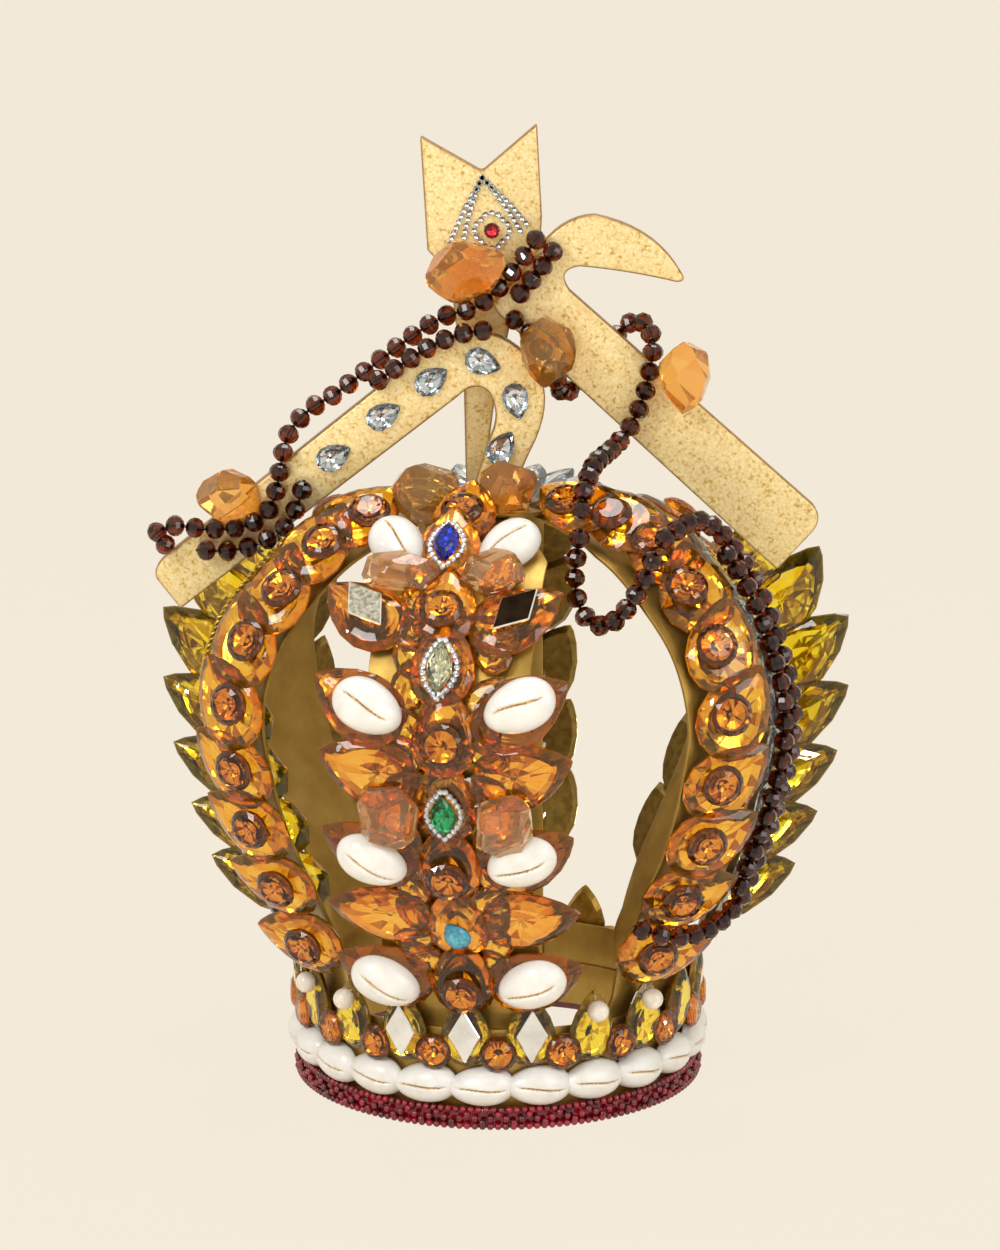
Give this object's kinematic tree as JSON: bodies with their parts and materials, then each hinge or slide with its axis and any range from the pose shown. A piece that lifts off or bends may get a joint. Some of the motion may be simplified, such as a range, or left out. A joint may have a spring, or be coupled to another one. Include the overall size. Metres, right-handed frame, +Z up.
{
  "type": "orisha crown",
  "caption": "Open crown of bulging metal bands on a shell-trimmed ring, set with faceted glass stones, with a crook, a hooked tool and a swallow-tailed board on top.",
  "frame": {"origin": "on the base ring's axis, at the level it stands on", "axes": "+Z up, out of the ring; -Y is the front, with the wide band; +X to the viewer's right"},
  "size_m": [0.2665, 0.2459, 0.36],
  "materials": {
    "gold_metal": "polished, slightly tarnished gold",
    "gilded_board": "pale gold with a pressed leather grain",
    "red_beads": "glossy dark red",
    "shell": "smooth natural shell",
    "yellow_glass": "faceted, foil backed",
    "amber_glass": "faceted, foil backed",
    "peach_glass": "faceted",
    "clear_glass": "faceted, silver backed",
    "green_glass": "faceted",
    "olive_glass": "faceted",
    "blue_glass": "faceted",
    "dark_beads": "faceted, glossy"
  },
  "bodies": {
    "crown": {"ring_band": "gold_metal", "ring_liner": "gold_metal", "red_bead_trim": "red_beads", "arch_front": "gold_metal", "arch_right_front": "gold_metal", "arch_right_back": "gold_metal", "arch_back": "gold_metal", "arch_left_back": "gold_metal", "arch_left_front": "gold_metal", "cowrie_row": "shell", "ring_gem_row": "yellow_glass", "crook_board": "gilded_board", "hook_board": "gilded_board", "swallowtail_board": "gilded_board", "strand_crook": "dark_beads", "strand_hook": "dark_beads", "strand_arm": "dark_beads", "nugget_swallowtail": "amber_glass", "nugget_crook_top": "amber_glass", "nugget_hook": "amber_glass", "nugget_handle": "amber_glass", "front_gem_column": "amber_glass", "front_leaf_left_1": "amber_glass", "front_leaf_left_2": "amber_glass", "front_leaf_left_3": "amber_glass", "front_leaf_left_4": "amber_glass", "front_leaf_left_5": "amber_glass", "front_leaf_left_6": "amber_glass", "front_leaf_right_1": "amber_glass", "front_leaf_right_2": "amber_glass", "front_leaf_right_3": "amber_glass", "front_leaf_right_4": "amber_glass", "front_leaf_right_5": "amber_glass", "front_leaf_right_6": "amber_glass", "leaf_cowrie_left_1": "shell", "leaf_cowrie_left_2": "shell", "leaf_cowrie_left_3": "shell", "top_cowrie_left": "shell", "leaf_cowrie_right_1": "shell", "leaf_cowrie_right_2": "shell", "leaf_cowrie_right_3": "shell", "top_cowrie_right": "shell", "marquise_green": "green_glass", "marquise_olive": "olive_glass", "marquise_blue": "blue_glass", "nugget_lower_left": "peach_glass", "nugget_lower_right": "peach_glass", "nugget_upper_left": "peach_glass", "nugget_upper_right": "peach_glass", "amber_row_right": "amber_glass", "amber_row_left": "amber_glass", "hub_plate": "gold_metal", "clear_row_right": "clear_glass", "clear_row_left": "clear_glass", "yellow_row_right": "yellow_glass", "yellow_row_left": "yellow_glass", "right_back_gems": "yellow_glass", "back_gems": "yellow_glass", "left_back_gems": "yellow_glass"},
    "bead_loop": {"strand_loop": "dark_beads"}
  },
  "joints": [
    {"name": "bead_loop_swing", "type": "hinge", "parent": "crown", "child": "bead_loop", "pos_m": [0.02987, -0.0571, 0.2224], "axis": [0.7499, -0.6518, -0.113], "range_deg": [-28, 2]}
  ]
}
